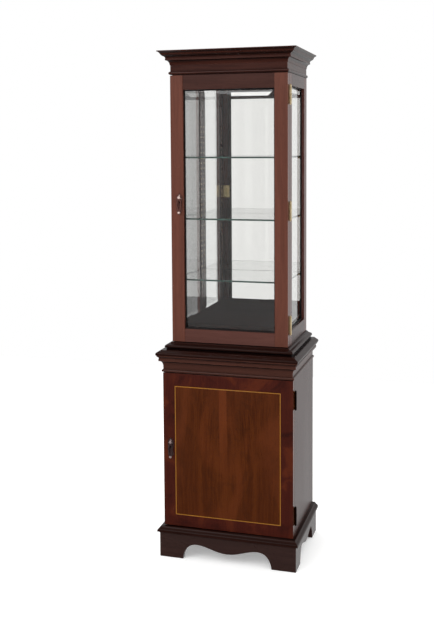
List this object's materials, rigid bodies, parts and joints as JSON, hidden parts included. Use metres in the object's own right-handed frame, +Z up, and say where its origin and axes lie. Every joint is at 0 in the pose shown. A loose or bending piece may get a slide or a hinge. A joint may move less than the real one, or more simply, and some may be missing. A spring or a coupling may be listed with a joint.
{
  "type": "china cabinet",
  "caption": "Tall narrow two-stage china cabinet: mirror-backed display case with glass shelves and a glazed door, over a cupboard with an inlaid door, on a shaped plinth.",
  "frame": {"origin": "on the floor, midway between the sides and midway between the foremost moulding and the flat back", "axes": "+Z up, +X to the right seen from the front, +Y to the back; the doors face -Y"},
  "size_m": [0.522, 0.381, 1.83],
  "materials": {
    "mahogany": "stained mahogany, satin lacquer",
    "veneer": "figured mahogany veneer, gloss lacquer",
    "back_board": "stained board, dull",
    "inlay": "light boxwood stringing under the lacquer",
    "glass": "clear, bevelled edges",
    "shelf_glass": "clear with greenish polished edges",
    "mirror": "silvered plate glass",
    "brass": "polished, lightly toned",
    "antique_brass": "dark antique finish, rubbed on the high points"
  },
  "bodies": {
    "cabinet": {"cornice_front": "mahogany", "cornice_left": "mahogany", "cornice_right": "mahogany", "top_board": "mahogany", "upper_front_rail": "mahogany", "front_left_post": "mahogany", "front_right_post": "mahogany", "back_left_post": "mahogany", "back_right_post": "mahogany", "left_bottom_rail": "mahogany", "right_bottom_rail": "mahogany", "left_top_rail": "mahogany", "right_top_rail": "mahogany", "display_base": "mahogany", "display_floor": "mahogany", "left_glass": "glass", "right_glass": "glass", "mirror": "mirror", "upper_back_board": "back_board", "glass_shelf_1": "shelf_glass", "glass_shelf_2": "shelf_glass", "glass_shelf_3": "shelf_glass", "upper_hinge_1_frame_leaf": "brass", "upper_hinge_2_frame_leaf": "brass", "upper_hinge_3_frame_leaf": "brass", "lower_hinge_1_frame_leaf": "brass", "lower_hinge_2_frame_leaf": "brass", "lower_top_board": "mahogany", "waist_front": "mahogany", "waist_left": "mahogany", "waist_right": "mahogany", "base_board": "mahogany", "plinth_front": "mahogany", "plinth_left": "mahogany", "plinth_right": "mahogany", "plinth_back": "mahogany", "left_side_panel": "veneer", "right_side_panel": "veneer", "lower_back_board": "back_board", "cupboard_shelf": "back_board"},
    "upper_door": {"door_left_stile": "mahogany", "door_right_stile": "mahogany", "door_top_rail": "mahogany", "door_bottom_rail": "mahogany", "door_glass": "glass", "upper_lock_case": "brass", "upper_handle_plate": "antique_brass", "upper_hinge_1_door_leaf": "brass", "upper_hinge_2_door_leaf": "brass", "upper_hinge_3_door_leaf": "brass"},
    "upper_bolt": {"upper_lock_bolt": "brass"},
    "upper_drop": {"upper_handle_drop": "antique_brass"},
    "lower_door": {"cupboard_door": "veneer", "door_inlay": "inlay", "lower_lock_case": "brass", "lower_handle_plate": "antique_brass", "lower_hinge_1_door_leaf": "brass", "lower_hinge_2_door_leaf": "brass"},
    "lower_bolt": {"lower_lock_bolt": "brass"},
    "lower_drop": {"lower_handle_drop": "antique_brass"}
  },
  "joints": [
    {"name": "upper_door_hinge", "type": "hinge", "parent": "cabinet", "child": "upper_door", "pos_m": [0.2184, -0.11275, 1.266], "axis": [0, 0, 1], "range_deg": [0, 180]},
    {"name": "lower_door_hinge", "type": "hinge", "parent": "cabinet", "child": "lower_door", "pos_m": [0.2444, -0.14675, 0.397], "axis": [0, 0, 1], "range_deg": [0, 180]},
    {"name": "upper_bolt_slide", "type": "slide", "parent": "upper_door", "child": "upper_bolt", "axis": [-1, 0, 0], "range_m": [0, 0.007]},
    {"name": "lower_bolt_slide", "type": "slide", "parent": "lower_door", "child": "lower_bolt", "axis": [-1, 0, 0], "range_m": [0, 0.007]},
    {"name": "upper_drop_pivot", "type": "hinge", "parent": "upper_door", "child": "upper_drop", "pos_m": [-0.1825, -0.1416, 1.312], "axis": [-1, 0, 0], "range_deg": [0, 85]},
    {"name": "lower_drop_pivot", "type": "hinge", "parent": "lower_door", "child": "lower_drop", "pos_m": [-0.212, -0.1756, 0.427], "axis": [-1, 0, 0], "range_deg": [0, 85]}
  ]
}
